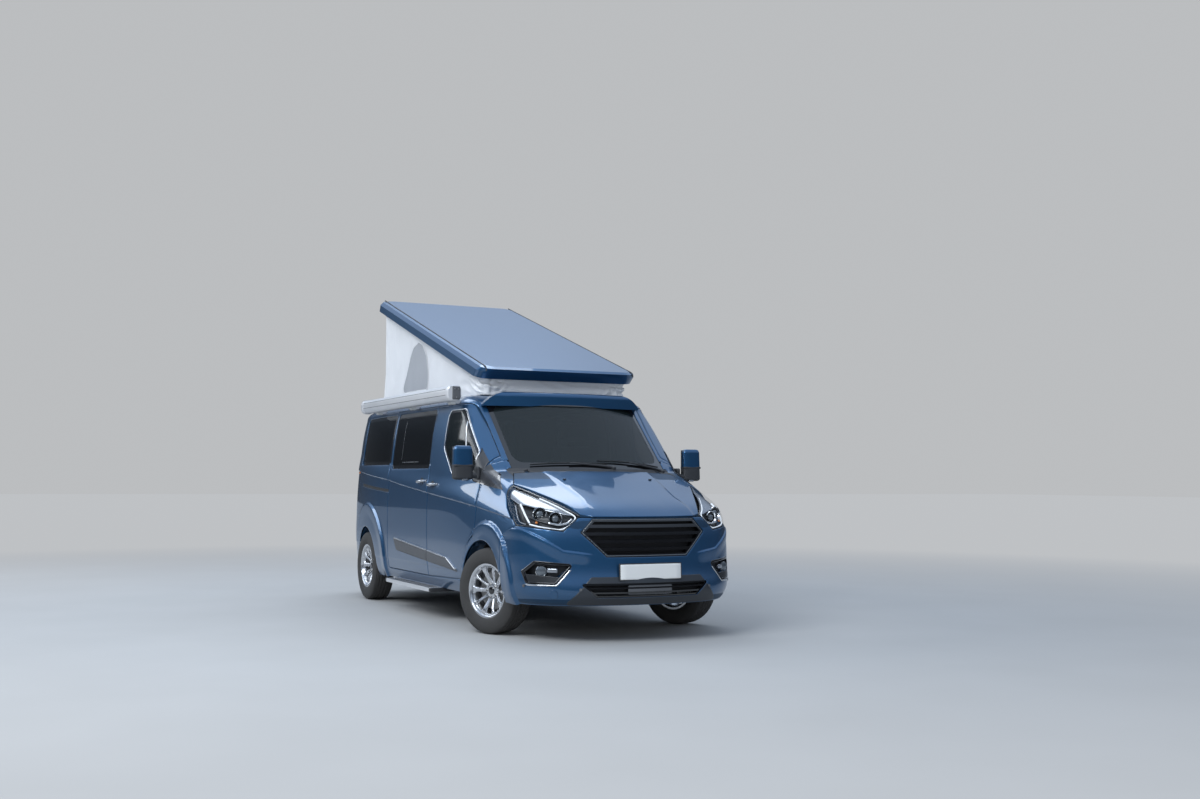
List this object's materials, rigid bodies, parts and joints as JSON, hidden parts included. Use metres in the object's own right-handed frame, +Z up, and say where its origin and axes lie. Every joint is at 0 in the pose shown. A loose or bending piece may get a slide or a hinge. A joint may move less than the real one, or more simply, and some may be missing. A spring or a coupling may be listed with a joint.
{
  "type": "camper van with pop-up roof",
  "caption": "Camper van with a rear-raised pop-up roof and cloth tent, opening doors, tailgate and bonnet, steered wheels and a roll-out awning case.",
  "frame": {"origin": "on the ground, under the middle of the overall box", "axes": "+X to the van's front, +Y to its left, +Z up"},
  "size_m": [5.3328, 2.314, 3.1273],
  "materials": {
    "blue_paint": "metallic clearcoat",
    "dark_trim": "grained",
    "glass": "tinted",
    "lamp_lens": "clear",
    "underbody": "satin black",
    "cast": "raw",
    "alloy": "polished, lacquered",
    "tyre": "worn",
    "cloth": "coated canvas",
    "seat_cloth": "woven",
    "cabin_plastic": "soft grain",
    "furniture": "laminate",
    "awning_metal": "anodised",
    "steel": "plain"
  },
  "bodies": {
    "body": {"right_body_side": "blue_paint", "left_body_side": "blue_paint", "sliding_door": "blue_paint", "side_windows": "glass", "front_wings": "blue_paint", "front_lamps": "lamp_lens", "tail_lamps": "lamp_lens", "front_bumper": "blue_paint", "grille": "dark_trim", "windscreen": "glass", "scuttle": "dark_trim", "roof_panel": "blue_paint", "roof_fairing": "blue_paint", "rear_bumper": "blue_paint", "floor_pan": "underbody", "wheelhouses": "underbody", "bulkhead": "underbody", "engine_block": "cast", "front_subframe": "underbody", "rear_axle": "underbody", "fuel_tank": "underbody", "exhaust": "steel", "dashboard": "cabin_plastic", "front_seats": "seat_cloth", "rear_bench": "seat_cloth", "kitchen_unit": "furniture", "roof_canvas": "cloth", "awning_case": "awning_metal", "side_step": "awning_metal"},
    "right_door": {"right_front_door": "blue_paint", "right_door_window": "glass", "right_mirror": "blue_paint"},
    "left_door": {"left_front_door": "blue_paint", "left_door_window": "glass", "left_mirror": "blue_paint"},
    "tailgate": {"tailgate": "blue_paint", "tailgate_window": "glass"},
    "bonnet": {"bonnet": "blue_paint"},
    "right_knuckle": {"right_knuckle": "cast"},
    "left_knuckle": {"left_knuckle": "cast"},
    "front_right_wheel": {"front_right_tyre": "tyre", "front_right_rim": "alloy"},
    "front_left_wheel": {"front_left_tyre": "tyre", "front_left_rim": "alloy"},
    "rear_right_wheel": {"rear_right_tyre": "tyre", "rear_right_rim": "alloy"},
    "rear_left_wheel": {"rear_left_tyre": "tyre", "rear_left_rim": "alloy"},
    "steering_wheel": {"steering_wheel": "cabin_plastic"},
    "roof_arms": {"roof_arms": "steel"},
    "pop_up_roof": {"pop_up_roof": "blue_paint"}
  },
  "joints": [
    {"name": "right_door_hinge", "type": "hinge", "parent": "body", "child": "right_door", "pos_m": [1.42, -0.95, 0.85], "axis": [0, 0, 1], "range_deg": [0, 66]},
    {"name": "left_door_hinge", "type": "hinge", "parent": "body", "child": "left_door", "pos_m": [1.42, 0.95, 0.85], "axis": [0, 0, -1], "range_deg": [0, 66]},
    {"name": "tailgate_hinge", "type": "hinge", "parent": "body", "child": "tailgate", "pos_m": [-2.484, 0, 1.868], "axis": [0, 1, 0], "range_deg": [0, 86]},
    {"name": "bonnet_hinge", "type": "hinge", "parent": "body", "child": "bonnet", "pos_m": [1.64, 0, 1.285], "axis": [0, -1, 0], "range_deg": [0, 45]},
    {"name": "left_steer", "type": "hinge", "parent": "body", "child": "left_knuckle", "pos_m": [1.6, 0.79, 0.343], "axis": [0, 0, 1], "range_deg": [-55, 15]},
    {"name": "right_steer", "type": "hinge", "parent": "body", "child": "right_knuckle", "pos_m": [1.6, -0.79, 0.343], "axis": [0, 0, 1], "range_deg": [-55, 15]},
    {"name": "wheel_steer", "type": "hinge", "parent": "body", "child": "steering_wheel", "pos_m": [1.05, 0.4, 1.225], "axis": [-0.6157, 0, 0.788], "range_deg": [-857.5, 237.5]},
    {"name": "front_left_spin", "type": "hinge", "parent": "left_knuckle", "child": "front_left_wheel", "pos_m": [1.57401, 0.86142, 0.343], "axis": [-0.342, 0.9397, 0], "continuous": true},
    {"name": "front_right_spin", "type": "hinge", "parent": "right_knuckle", "child": "front_right_wheel", "pos_m": [1.62599, -0.86142, 0.343], "axis": [-0.342, 0.9397, 0], "continuous": true},
    {"name": "rear_left_spin", "type": "hinge", "parent": "body", "child": "rear_left_wheel", "pos_m": [-1.7, 0.866, 0.343], "axis": [0, 1, 0], "continuous": true},
    {"name": "rear_right_spin", "type": "hinge", "parent": "body", "child": "rear_right_wheel", "pos_m": [-1.7, -0.866, 0.343], "axis": [0, 1, 0], "continuous": true},
    {"name": "arm_swing", "type": "hinge", "parent": "body", "child": "roof_arms", "pos_m": [0.64255, 0, 2.03242], "axis": [0, 1, 0], "range_deg": [0, 55.5]},
    {"name": "roof_fold", "type": "hinge", "parent": "roof_arms", "child": "pop_up_roof", "pos_m": [0.76854, 0, 2.18257], "axis": [0, -1, 0], "range_deg": [0, 72.2], "deforming": ["roof_canvas"]}
  ],
  "couplings": [
    {"joint": "right_steer", "follows": "left_steer", "ratio": 1},
    {"joint": "wheel_steer", "follows": "left_steer", "ratio": 15.5},
    {"joint": "arm_swing", "follows": "roof_fold", "ratio": 0.76177}
  ]
}
